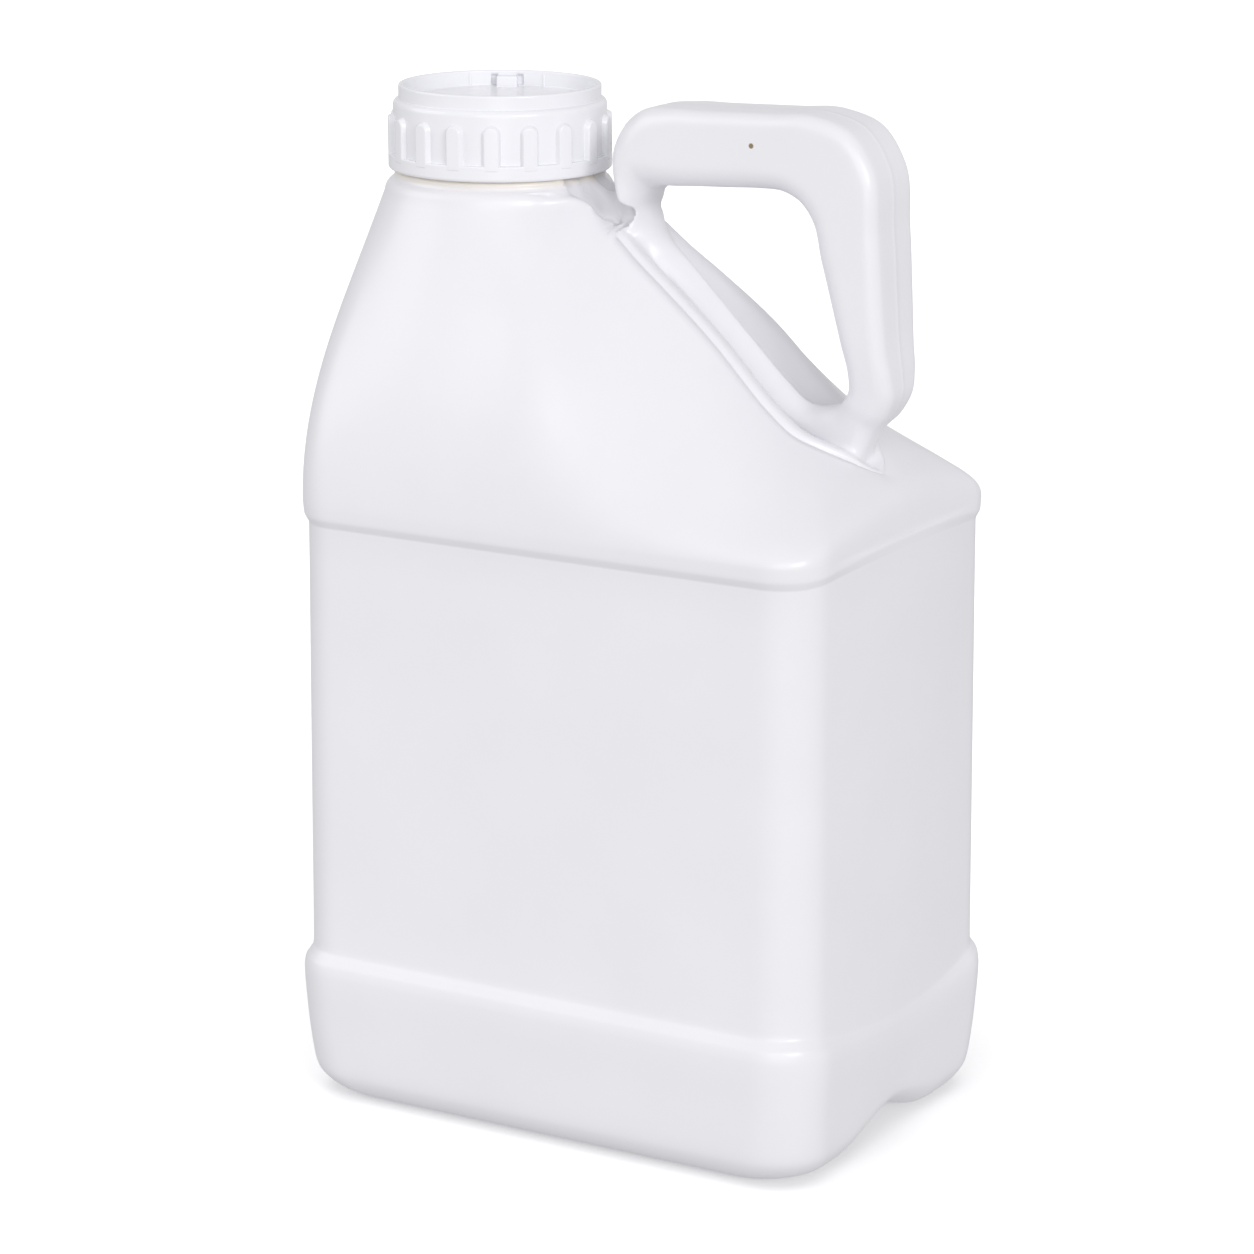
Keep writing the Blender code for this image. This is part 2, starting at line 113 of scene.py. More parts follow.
# Steps of the fine surface
SIDE_STEPS = 18
CORNER_STEPS = 14
LONG_STEPS = 100
SHOULDER_STEPS = 44
LOOP_STATIONS = 260
ROUND_STEPS = 9
CAP_STEPS = 208


def smooth(value):
    """Runs from 0 to 1 with level ends."""
    value = np.clip(value, 0.0, 1.0)
    return value * value * (3.0 - 2.0 * value)


def cubic(share, step, low, high, low_slope, high_slope):
    """One cubic step between two values, read at a share of the way, with a slope at each end."""
    square, cube = share ** 2, share ** 3
    start = (2 * cube - 3 * square + 1) * low + (cube - 2 * square + share) * step * low_slope
    end = (3 * square - 2 * cube) * high + (cube - square) * step * high_slope
    return start + end


def smooth_through(where, keys, values, period=None):
    """A smooth curve through key values, read at the given places."""
    keys = np.asarray(keys, float)
    values = np.asarray(values, float)
    if period is not None:
        keys = np.concatenate([keys[-2:] - period, keys, keys[:2] + period])
        values = np.concatenate([values[-2:], values, values[:2]])
    slopes = np.gradient(values, keys)
    where = np.asarray(where, float)
    low = np.clip(np.searchsorted(keys, where, side="right") - 1, 0, len(keys) - 2)
    step = keys[low + 1] - keys[low]
    share = np.clip((where - keys[low]) / step, 0.0, 1.0)
    return cubic(share, step, values[low], values[low + 1], slopes[low], slopes[low + 1])


def even_slopes(keys, values):
    """Slopes that never let the curve pass beyond its key values."""
    rises = np.diff(values, axis=0) / np.diff(keys)[:, None]
    before, after = rises[:-1], rises[1:]
    total = np.where(np.abs(before + after) < 1e-9, 1e-9, before + after)
    inner = np.where(before * after > 0, 2.0 * before * after / total, 0.0)
    return np.concatenate([rises[:1], inner, rises[-1:]])


def finer_rings(rings, steps):
    """Adds rings between key rings, each column on its own smooth curve."""
    stack = np.array(rings)
    gaps = np.linalg.norm(np.diff(stack, axis=0), axis=2).mean(axis=1)
    keys = np.concatenate([[0.0], np.cumsum(gaps)])
    flat = stack.reshape(len(rings), -1)
    slopes = even_slopes(keys, flat)
    made = []
    for k in range(len(rings) - 1):
        for step in range(steps):
            row = cubic(step / steps, gaps[k], flat[k], flat[k + 1], slopes[k], slopes[k + 1])
            made.append(row.reshape(-1, 3))
    made.append(stack[-1])
    return made


def front_outline(half_length, half_width, corner):
    """The front half of a rounded rectangle, from the middle of the left end to the right end."""
    flat_x = half_length - corner
    flat_y = half_width - corner
    points = [(-half_length, -flat_y * k / SIDE_STEPS) for k in range(SIDE_STEPS)]
    for k in range(CORNER_STEPS):
        angle = math.pi * (1.0 + 0.5 * k / CORNER_STEPS)
        points.append((-flat_x + corner * math.cos(angle), -flat_y + corner * math.sin(angle)))
    points += [(-flat_x + 2.0 * flat_x * k / LONG_STEPS, -half_width) for k in range(LONG_STEPS)]
    for k in range(CORNER_STEPS):
        angle = math.pi * (1.5 + 0.5 * k / CORNER_STEPS)
        points.append((flat_x + corner * math.cos(angle), -flat_y + corner * math.sin(angle)))
    points += [(half_length, -flat_y * (1.0 - k / SIDE_STEPS)) for k in range(SIDE_STEPS + 1)]
    return np.array(points)


def end_share(outline, half_length, half_width, corner):
    """1 in the middle of a short end, 0 at its corners and along the long sides."""
    along = np.clip(np.abs(outline[:, 1]) / (half_width - 0.4 * corner), 0.0, 1.0)
    at_end = np.abs(outline[:, 0]) > half_length - 0.6 * corner
    return np.where(at_end, 1.0 - along ** 2, 0.0)


def body_ring(z, inset, crown=0.0, dip=0.0, corner=None):
    """One level ring of the lower body, inset from the foot band's outline."""
    half_length = BAND_HALF_LENGTH - inset
    half_width = BAND_HALF_WIDTH - inset
    if corner is None:
        corner = BAND_CORNER - inset
    outline = front_outline(half_length, half_width, corner)
    share = end_share(outline, half_length, half_width, corner)
    x = outline[:, 0] + np.sign(outline[:, 0]) * crown * share
    return np.column_stack([x, outline[:, 1], z - dip * share])


def lift_for_grip(ring):
    """Raises the base into an arch under the handle end, as a finger grip."""
    x, y, z = ring.T
    arch = smooth(1.0 - np.abs(y) / GRIP_HALF_WIDTH)
    reach = smooth((x - GRIP_START) / GRIP_FADE)
    fade = np.clip(1.0 - z / GRIP_FADE_HEIGHT, 0.0, 1.0) ** 2
    lifted = ring.copy()
    lifted[:, 2] = z + GRIP_HEIGHT * arch * reach * fade
    return lifted


def lower_rings():
    """Rings from the middle of the base up to the start of the shoulder."""
    inner = BAND_TAPER + FOOT_FILLET
    rings = []
    for reach in (36.0, 24.0, 14.0):
        rings.append(body_ring(PUSH_UP, inner + reach, corner=FOOT_CORNER - 0.4 * reach))
    rings.append(body_ring(0.0, inner + 8.0, corner=FOOT_CORNER))
    for k in range(6):
        angle = 0.5 * math.pi * k / 5
        inset = BAND_TAPER + FOOT_FILLET * (1.0 - math.sin(angle))
        corner = FOOT_CORNER + (BAND_CORNER - FOOT_CORNER) * k / 5
        rings.append(body_ring(FOOT_FILLET * (1.0 - math.cos(angle)), inset, corner=corner))
    rings.append(body_ring(28.0, 0.5 * BAND_TAPER, 0.2, 0.5 * BAND_DIP))
    for above, inset in ((-6.5, 0.0), (-3.0, 0.5), (-0.8, 1.9), (1.0, 3.0)):
        crown = 0.2 + inset / PANEL_INSET * PANEL_CROWN
        rings.append(body_ring(BAND_TOP + above, inset, crown, BAND_DIP))
    rings.append(body_ring(BAND_TOP + 3.0, PANEL_INSET, PANEL_CROWN + 0.2, 0.8 * BAND_DIP))
    for share in (0.25, 0.62):
        z = BAND_TOP + (PANEL_TOP - BAND_TOP) * share
        rings.append(body_ring(z, PANEL_INSET + PANEL_DRAFT * share, PANEL_CROWN + 0.2))
    last = PANEL_INSET + PANEL_DRAFT
    for above, inset in ((-0.8, last), (0.5, last - 0.6), (2.4, SHOULDER_INSET + 0.4)):
        rings.append(body_ring(PANEL_TOP + above, inset, inset / PANEL_INSET * PANEL_CROWN, -3.0))
    return [lift_for_grip(ring) for ring in rings]


# The ridge's foot line: share along the outline, x, distance from the middle plane, z
RIDGE_KEYS = (
    (0.44, -29.0, 28.5, 291.0),
    (0.49, -20.8, 19.2, 291.0),
    (0.515, -15.8, 15.6, 291.6),
    (0.54, -10.0, 14.6, 289.6),
    (0.57, -3.0, 15.0, 284.2),
    (0.615, 7.0, 16.2, 275.8),
    (0.67, 19.0, 17.8, 266.9),
    (0.75, 37.0, 19.8, 252.6),
    (0.83, 56.0, 20.7, 234.2),
    (0.872, 64.0, 20.2, 227.8),
    (0.915, 71.5, 16.6, 223.6),
    (0.95, 78.5, 10.6, 219.4),
    (0.98, 83.5, 4.8, 215.8),
    (1.0, 85.4, 0.0, 213.9),
)


def ridge_line(share):
    """The outer foot of the neck and of the ridge, seen from 0 at the left to 1 at the handle end."""
    circle_share, circle_angle = (0.0, 0.1, 0.2, 0.42, 0.5), (180.0, 213.0, 240.0, 305.0, 330.0)
    angles = np.radians(smooth_through(share, circle_share, circle_angle))
    circle_x = NECK_X + NECK_FOOT_RADIUS * np.cos(angles)
    circle_y = NECK_FOOT_RADIUS * np.sin(angles)
    keys = [key[0] for key in RIDGE_KEYS]
    slope_x = smooth_through(share, keys, [key[1] for key in RIDGE_KEYS])
    slope_y = smooth_through(share, keys, [-key[2] for key in RIDGE_KEYS])
    slope_z = smooth_through(share, keys, [key[3] for key in RIDGE_KEYS])
    blend = smooth((share - 0.45) / 0.05)
    x = circle_x + (slope_x - circle_x) * blend
    y = circle_y + (slope_y - circle_y) * blend
    z = NECK_FOOT_Z + (slope_z - NECK_FOOT_Z) * blend
    return np.column_stack([x, y, z])


def shoulder_rings():
    """Rings over the shoulder, from the vertical sides to the neck and the two ridges."""
    base = body_ring(SHOULDER_START, SHOULDER_INSET, 0.7)
    count = len(base)
    first_corner = SIDE_STEPS + CORNER_STEPS
    marks = (0, SIDE_STEPS, first_corner, first_corner + 0.36 * LONG_STEPS, first_corner + LONG_STEPS,
             first_corner + LONG_STEPS + CORNER_STEPS, count - 1)
    share = smooth_through(np.arange(count), marks, (0.0, 0.1, 0.2, 0.44, 0.84, 0.915, 1.0))
    top = ridge_line(share)
    edge_x = (-95.0, -20.0, -4.0, 1.0, 8.0, 16.0, 26.0, 38.0, 58.0, 75.0, 95.0)
    edge_z = (262.0, 258.0, 248.0, 242.5, 233.0, 224.0, 215.5, 209.0, 204.5, 203.5, 203.0)
    end_rise = END_RISE * end_share(base, BAND_HALF_LENGTH, BAND_HALF_WIDTH, BAND_CORNER)
    edge = base.copy()
    edge[:, 2] = smooth_through(base[:, 0], edge_x, edge_z) + np.where(base[:, 0] > 0, end_rise, 0.0)
    slope_share = smooth((base[:, 0] + 46.0) / 46.0)[:, None]
    height = NECK_FOOT_Z - SHOULDER_START
    away = top - np.array([NECK_X, 0.0, 0.0])
    away[:, 2] = 0.0
    away /= np.linalg.norm(away, axis=1)[:, None]
    cone_low = base + np.array([0.0, 0.0, 0.4 * height])
    flare = (NECK_FLARE - 0.06 * end_share(base, BAND_HALF_LENGTH, BAND_HALF_WIDTH, BAND_CORNER))[:, None]
    cone_high = top + away * flare * height / 3.0 - np.array([0.0, 0.0, height / 3.0])
    slope_low = base + (edge - base) * 0.8
    slope_high = top + (edge - top) * (0.8 + 0.14 * smooth((share - 0.84) / 0.08))[:, None]
    low = cone_low + (slope_low - cone_low) * slope_share
    high = cone_high + (slope_high - cone_high) * slope_share
    rings = []
    for k in range(SHOULDER_STEPS + 1):
        t = k / SHOULDER_STEPS
        lower_half = base * (1 - t) ** 3 + low * 3 * t * (1 - t) ** 2
        upper_half = high * 3 * t * t * (1 - t) + top * t ** 3
        rings.append(lower_half + upper_half)
    return rings, top, share


# Sections across the crown, from the slope's edge inwards: distance inwards and height.
# The ridge is a broad bead with a fine crease at its foot; the neck's foot is a plain rounding.
RIDGE_SECTION = ((0.35, -0.25), (0.7, 0.25), (1.2, 0.95), (2.0, 1.4), (3.0, 1.5), (4.2, 1.4), (5.4, 1.15),
                 (6.4, 0.75), (7.2, 0.15))
NECK_SECTION = ((0.15, 0.8), (0.4, 1.6), (0.8, 2.4), (1.3, 3.05), (1.9, 3.55), (2.5, 3.85), (3.1, 4.0),
                (3.8, 4.05), (4.8, 4.05))
# The flank inside the bead and the deep groove beside the rail: share of the flank's width, and depth
TROUGH_SECTION = ((0.2, 0.7), (0.4, 1.4), (0.6, 2.1), (0.8, 2.8), (1.0, 3.4), (1.07, 4.6), (1.12, 6.5),
                  (1.16, 8.0))


def crown_rings(top, share):
    """The ridge bead, the straight flank down to the trough inside it and the flat under the neck."""
    slope = smooth((share - 0.44) / 0.12)[:, None]
    tilt = math.radians(RIDGE_ANGLE)
    upwards, leaning = np.array([0.0, 0.0, 1.0]), np.array([math.sin(tilt), 0.0, math.cos(tilt)])
    outwards = upwards * (1 - slope) + leaning * slope
    centre = np.where(slope > 0.5, top * np.array([1.0, 0.0, 1.0]), np.array([NECK_X, 0.0, 0.0]))
    inward = centre - top
    inward[:, 2] = 0.0
    length = np.maximum(np.linalg.norm(inward, axis=1)[:, None], 1e-6)
    end = smooth((share - 0.93) / 0.07)[:, None]
    inward = inward / length * (1 - end) + np.array([-1.0, 0.0, 0.2]) * end
    ridge = smooth((share - 0.52) / 0.06)[:, None]
    open_flank = smooth((share - 0.57) / 0.10)[:, None]
    rings = []
    for (ridge_in, ridge_up), (neck_in, neck_up) in zip(RIDGE_SECTION, NECK_SECTION):
        reach = neck_in + (ridge_in - neck_in) * ridge
        rise = neck_up * (1 - slope) + (ridge_up - 0.3 * end * ridge_up) * ridge
        rings.append(top + inward * reach + outwards * rise)
    inner = rings[-1]
    for across, down in TROUGH_SECTION:
        narrow = np.array([1.0, 1.0 - (1.0 - TROUGH_SHARE) * across, 1.0])
        depth = down * open_flank + min(down, 2.0) * (1 - open_flank)
        rings.append(inner * narrow - outwards * depth * slope * (1 - 0.6 * end))
    return rings


def full_ring(front):
    """Adds the mirrored back half to a front half ring."""
    back = front[-2:0:-1] * np.array([1.0, -1.0, 1.0])
    return np.concatenate([front, back])


def mesh_object(name, bm):
    """Makes an object of a finished mesh, with its faces turned outwards."""
    bmesh.ops.recalc_face_normals(bm, faces=bm.faces)
    if bm.calc_volume(signed=True) < 0.0:
        bmesh.ops.reverse_faces(bm, faces=bm.faces)
    mesh = bpy.data.meshes.new(name)
    bm.to_mesh(mesh)
    bm.free()
    made = bpy.data.objects.new(name, mesh)
    bpy.context.scene.collection.objects.link(made)
    return made


def add_rings(bm, rings):
    """Joins closed rings of points, each to the next, and returns their vertices."""
    rows = [[bm.verts.new(Vector(point) * MM) for point in ring] for ring in rings]
    for low, high in zip(rows, rows[1:]):
        for k in range(len(low)):
            j = (k + 1) % len(low)
            bm.faces.new((low[k], low[j], high[j], high[k]))
    return rows


def close_across(bm, row):
    """Closes a symmetric ring with strips from its front half to its back half."""
    count = len(row)
    half = count // 2
    for k in range(half):
        front_now, front_next = row[k], row[k + 1]
        back_now, back_next = row[(count - k) % count], row[count - k - 1]
        corners = []
        for vertex in (front_now, front_next, back_next, back_now):
            if vertex not in corners:
                corners.append(vertex)
        bm.faces.new(corners)


def make_shell():
    """The body without its neck and handle."""
    shoulder, top, share = shoulder_rings()
    lower = finer_rings(lower_rings() + [shoulder[0]], 4)
    rings = lower[:-1] + shoulder + crown_rings(top, share)
    bm = bmesh.new()
    rows = add_rings(bm, [full_ring(ring) for ring in rings])
    bm.faces.new(rows[0])
    close_across(bm, rows[-1])
    return mesh_object("jug", bm)


def make_lathe(name, profile, steps, centre_x):
    """Turns a profile of (radius, height) pairs around an upright axis."""
    bm = bmesh.new()
    rings = []
    for radius, z in profile:
        angles = [2.0 * math.pi * k / steps for k in range(steps)]
        rings.append([(centre_x + radius * math.cos(a), radius * math.sin(a), z) for a in angles])
    rows = add_rings(bm, rings)
    bm.faces.new(rows[0])
    bm.faces.new(rows[-1])
    return mesh_object(name, bm)


def rounded(corners, steps=7):
    """Rounds the inner corners of a profile of (radius, height, rounding) triples.

    A short straight piece beside each rounding keeps the flat walls flat in shading."""
    points = [Vector(corner[:2]) for corner in corners]
    made = [points[0]]
    for before, here, after, (_, _, radius) in zip(points, points[1:], points[2:], corners[1:]):
        reach = min(radius, 0.42 * (here - before).length, 0.42 * (after - here).length)
        if reach == 0.0:
            made.append(here)
            continue
        back, ahead = (before - here).normalized(), (after - here).normalized()
        made.append(here + back * (1.15 * reach))
        for k in range(steps + 1):
            t = k / steps
            made.append(here + (back * (1 - t) ** 2 + ahead * t * t) * (reach * (1.0 + 0.68 * t * (1 - t))))
        made.append(here + ahead * (1.15 * reach))
    made.append(points[-1])
    return [tuple(point) for point in made]


def make_neck():
    """The neck's stub inside the cap, with a hollow flare down onto the crown."""
    foot = NECK_FOOT_Z
    profile = [(NECK_RADIUS, foot - 8.0), (NECK_RING_RADIUS + 0.9, foot + 0.4),
               (NECK_RING_RADIUS + 1.3, foot + 3.4)]
    for k in range(9):
        t = k / 8.0
        profile.append((NECK_RING_RADIUS + 1.2 * (1 - t) ** 2.2, foot + 3.7 + 1.7 * t ** 1.3))
    profile += [(NECK_RING_RADIUS, NECK_RING_TOP), (NECK_RADIUS, NECK_RING_TOP), (NECK_RADIUS, NECK_TOP),
                (NECK_RADIUS - 2.0, NECK_TOP)]
    return make_lathe("neck", profile, 200, NECK_X)


# Handle stations around the hole: hole edge x and z, rim x and z, half thickness,
# the section's corner radius towards the rim and towards the hole, and how full the hole's corner
# is: 2 for a round one, 1 for a straight slope
HANDLE_KEYS = (
    (9.8, 297.4, 3.6, 320.5, 14.0, 8.0, 9.0, 2.0),
    (17.5, 298.2, 14.5, 322.2, 14.0, 5.2, 7.4, 2.0),
    (26.0, 298.8, 26.0, 322.4, 14.0, 4.6, 7.0, 2.0),
    (36.0, 299.3, 38.0, 322.8, 14.0, 4.6, 7.0, 2.0),
    (45.0, 299.8, 50.0, 323.2, 14.0, 4.6, 7.0, 2.0),
    (54.6, 299.4, 65.5, 323.5, 14.0, 4.6, 7.0, 2.0),
    (60.8, 296.3, 78.0, 319.3, 14.0, 4.6, 7.0, 2.0),
    (64.8, 291.0, 85.4, 309.0, 14.0, 4.6, 7.0, 2.0),
    (67.6, 280.0, 87.6, 289.0, 14.0, 4.6, 7.0, 2.0),
    (71.2, 266.6, 89.1, 266.0, 13.6, 4.6, 6.8, 2.0),
    (74.4, 254.0, 90.1, 253.0, 12.8, 4.6, 6.4, 2.0),
    (76.2, 246.8, 91.2, 245.6, 11.8, 4.8, 5.8, 2.0),
    (76.3, 240.9, 91.2, 238.6, 10.4, 5.2, 5.0, 2.0),
    (74.4, 237.4, 88.1, 232.4, 9.2, 5.4, 4.6, 2.0),
    (71.8, 235.2, 83.6, 227.6, 7.6, 5.2, 4.6, 2.0),
    (69.4, 234.2, 80.5, 221.4, 6.6, 5.0, 4.6, 2.0),
    (65.5, 233.3, 76.0, 211.0, 6.0, 4.0, 4.6, 1.7),
    (58.0, 234.4, 52.0, 217.5, 5.4, 3.0, 5.4, 1.3),
    (50.5, 240.6, 38.5, 229.5, 5.2, 3.0, 5.6, 1.2),
    (33.7, 256.9, 21.5, 245.5, 5.2, 3.0, 5.6, 1.2),
    (16.0, 274.3, 3.0, 263.5, 6.4, 3.0, 6.4, 1.3),
    (6.2, 283.4, -4.5, 277.5, 10.4, 4.0, 10.0, 1.7),
    (2.6, 289.8, -4.4, 296.2, 13.4, 12.5, 12.8, 2.0),
    (5.2, 294.4, -5.9, 310.6, 13.9, 12.0, 12.5, 2.0),
    (7.0, 296.2, -2.2, 316.5, 14.0, 10.5, 10.8, 2.0),
)


def handle_values(count):
    """Hole edge, rim, thickness and corner radii at evenly spaced stations around the loop."""
    keys = np.array(HANDLE_KEYS)
    middle = 0.5 * (keys[:, 0:2] + keys[:, 2:4])
    gaps = np.linalg.norm(np.roll(middle, -1, axis=0) - middle, axis=1)
    at_key = np.concatenate([[0.0], np.cumsum(gaps)[:-1]])
    length = gaps.sum()
    stations = length * np.arange(count) / count
    return np.array([smooth_through(stations, at_key, keys[:, k], length) for k in range(8)]).T


def handle_section(length, thick, rim_round, hole_round, full):
    """A rounded rectangle from the hole at 0 to the rim, with the mould's seam line on both narrow sides.

    Returns pairs of (distance from the hole, distance from the middle plane)."""
    rim_long, hole_long = min(rim_round, 0.5 * length), min(hole_round, 0.49 * length)
    rim_flat, hole_flat = thick - min(rim_round, 0.96 * thick), thick - min(hole_round, 0.96 * thick)
    rim_seam, hole_seam = min(SEAM_HALF_WIDTH, 0.6 * rim_flat), min(SEAM_HALF_WIDTH, 0.6 * hole_flat)
    half = [(length + SEAM_RISE, 0.0), (length, rim_seam)]
    half += [(length, rim_seam + (rim_flat - rim_seam) * k / 4.0) for k in (1, 2, 3, 4)]
    for k in range(1, ROUND_STEPS + 1):
        angle = 0.5 * math.pi * k / ROUND_STEPS
        half.append((length - rim_long * (1.0 - math.cos(angle)),
                     rim_flat + (thick - rim_flat) * math.sin(angle)))
    span = length - rim_long - hole_long
    half += [(length - rim_long - span * k / 7.0, thick) for k in range(1, 8)]
    for k in range(1, ROUND_STEPS + 1):
        angle = 0.5 * math.pi * k / ROUND_STEPS
        power = 2.0 / full
        half.append((hole_long * (1.0 - math.sin(angle) ** power),
                     hole_flat + (thick - hole_flat) * max(math.cos(angle), 0.0) ** power))
    half += [(0.0, hole_flat + (hole_seam - hole_flat) * k / 3.0) for k in (1, 2, 3)]
    half.append((-SEAM_RISE, 0.0))
    return half + [(reach, -side) for reach, side in half[-2:0:-1]]


def make_handle():
    """A closed tube around the hole, from sections that each reach from hole to rim."""
    rings = []
    for hole_x, hole_z, rim_x, rim_z, *shape in handle_values(LOOP_STATIONS):
        hole = np.array([hole_x, 0.0, hole_z])
        outward = np.array([rim_x, 0.0, rim_z]) - hole
        length = np.linalg.norm(outward)
        outward /= length
        section = handle_section(length, *shape)
        rings.append([hole + outward * reach + np.array([0.0, side, 0.0]) for reach, side in section])
    bm = bmesh.new()
    add_rings(bm, rings + [rings[0]])
    bmesh.ops.remove_doubles(bm, verts=bm.verts, dist=0.01 * MM)
    return mesh_object("handle", bm)


def make_prism(name, outline, y_from, y_to):
    """A straight prism along Y over an outline of (x, z) pairs."""
    bm = bmesh.new()
    rings = [[(x, y, z) for x, z in outline] for y in (y_from, y_to)]
    rows = add_rings(bm, rings)
    bm.faces.new(rows[0])
    bm.faces.new(rows[1])
    return mesh_object(name, bm)


def make_web():
    """The thin web that joins the neck and the handle across the slot."""
    outline = [(-24.0, 282.0), (-24.0, 296.6), (-17.5, 296.6), (-9.6, 293.4), (-4.0, 293.0), (2.0, 276.0)]
    return make_prism("web", outline, -2.0 * WEB_HALF_THICKNESS, 2.0 * WEB_HALF_THICKNESS)


def make_slot(side, deeper, higher, reach):
    """A leaning slot with a round lower end, on one side of the web.

    It is shifted deeper towards the neck and higher along its length, and reaches that far from the middle."""
    lean = math.radians(SLOT_LEAN)
    start_x = SLOT_X - deeper * math.cos(lean) - higher * math.sin(lean)
    start_z = SLOT_Z - deeper * math.sin(lean) + higher * math.cos(lean)
    outline = []
    for k in range(21):
        angle = math.pi * (1.0 + k / 20.0) + lean
        outline.append((start_x + SLOT_RADIUS * math.cos(angle), start_z + SLOT_RADIUS * math.sin(angle)))
    for across in (1.0 + 0.5 * deeper / SLOT_RADIUS, -1.0):
        outline.append((start_x - SLOT_LENGTH * math.sin(lean) + across * SLOT_RADIUS * math.cos(lean),
                        start_z + SLOT_LENGTH * math.cos(lean) + across * SLOT_RADIUS * math.sin(lean)))
    return make_prism("slot", outline, side * (WEB_HALF_THICKNESS + 0.1 * deeper), side * reach)


def combine(target, tool, operation, solver="EXACT"):
    """Applies one Boolean with another object, which is then removed."""
    modifier = target.modifiers.new("combine", "BOOLEAN")
    modifier.operation = operation
    modifier.solver = solver
    modifier.object = tool
    graph = bpy.context.evaluated_depsgraph_get()
    result = bpy.data.meshes.new_from_object(target.evaluated_get(graph))
    target.modifiers.remove(modifier)
    target.data = result
    bpy.data.objects.remove(tool, do_unlink=True)


def places(mesh):
    """The mesh's vertex places as an array, in millimetres."""
    flat = np.zeros(len(mesh.vertices) * 3)
    mesh.vertices.foreach_get("co", flat)
    return flat.reshape(-1, 3) / MM


def tree_of(points):
    """A search tree that finds the nearest of the given points."""
    tree = KDTree(len(points))
    for k, point in enumerate(points):
        tree.insert(point, k)
    tree.balance()
    return tree


def soften_joins(target, known, reach, passes):
    """Rounds the creases that the Booleans left, the way a blown wall rounds every inner corner.

    A vertex that none of the joined pieces had lies on a join; the wall within reach of it is relaxed."""
    known_tree = tree_of(known)
    spots = places(target.data)
    new = [point for point in spots if known_tree.find(point)[2] > 0.02 and point[0] > SOFT_FROM_X]
    join_tree = tree_of(new)
    distance = np.array([join_tree.find(point)[2] for point in spots])
    bm = bmesh.new()
    bm.from_mesh(target.data)
    bm.verts.ensure_lookup_table()
    near = [bm.verts[k] for k in np.nonzero(distance < 1.2 * reach)[0]]
    bmesh.ops.remove_doubles(bm, verts=near, dist=0.25 * MM)
    bmesh.ops.triangulate(bm, faces=bm.faces)
    bmesh.ops.dissolve_degenerate(bm, edges=bm.edges, dist=0.01 * MM)
    bmesh.ops.triangulate(bm, faces=bm.faces)
    bm.to_mesh(target.data)
    bm.free()
    spots = places(target.data)
    distance = np.array([join_tree.find(point)[2] for point in spots])
    slot_axis = (spots[:, 0] - SLOT_X) * math.cos(math.radians(SLOT_LEAN))
    slot_axis += (spots[:, 2] - SLOT_Z) * math.sin(math.radians(SLOT_LEAN))
    in_slot = (np.abs(slot_axis) < 2.0 * SLOT_RADIUS) & (spots[:, 0] > -24.0) & (spots[:, 2] > 281.0)
    weight = (smooth(1.0 - distance / reach) * np.where(in_slot, SLOT_SOFTNESS, 1.0))[:, None]
    edges = np.zeros(len(target.data.edges) * 2, int)
    target.data.edges.foreach_get("vertices", edges)
    edges = edges.reshape(-1, 2)
    ends = np.concatenate([edges[:, 0], edges[:, 1]])
    others = np.concatenate([edges[:, 1], edges[:, 0]])
    counts = np.maximum(np.bincount(ends, minlength=len(spots)), 1)[:, None]
    for _ in range(passes):
        total = np.zeros_like(spots)
        for axis in range(3):
            total[:, axis] = np.bincount(ends, weights=spots[others, axis], minlength=len(spots))
        spots += 0.6 * weight * (total / counts - spots)
    target.data.vertices.foreach_set("co", (spots * MM).ravel())
    target.data.update()


def make_jug():
    jug = make_shell()
    known = [places(jug.data)]
    neck, handle, web = make_neck(), make_handle(), make_web()
    for tool in (neck, handle):
        known.append(places(tool.data))
    for tool in (neck, handle, web):
        combine(jug, tool, "UNION")
    for side in (-1, 1):
        combine(jug, make_slot(side, deeper=4.0, higher=5.0, reach=12.0), "DIFFERENCE")
        combine(jug, make_slot(side, deeper=0.0, higher=0.0, reach=32.0), "DIFFERENCE")
    soften_joins(jug, np.concatenate(known), reach=3.0, passes=14)
    return jug


def linear(code):
    """Turns an sRGB hex colour into linear red, green, blue and alpha."""
    parts = [int(code[k:k + 2], 16) / 255.0 for k in (1, 3, 5)]
    return [p / 12.92 if p <= 0.04045 else ((p + 0.055) / 1.055) ** 2.4 for p in parts] + [1.0]


def add_node(tree, kind, settings=None, **links):
    """Adds a node, sets its properties and sockets, and links sockets that are given as outputs."""
    node = tree.nodes.new(kind)
    for name, value in (settings or {}).items():
        setattr(node, name, value)
    for name, value in links.items():
        socket = node.inputs[int(name[1:])] if name[1:].isdigit() else node.inputs[name.replace("_", " ")]
        if isinstance(value, bpy.types.NodeSocket):
            tree.links.new(value, socket)
        else:
            socket.default_value = value
    return node


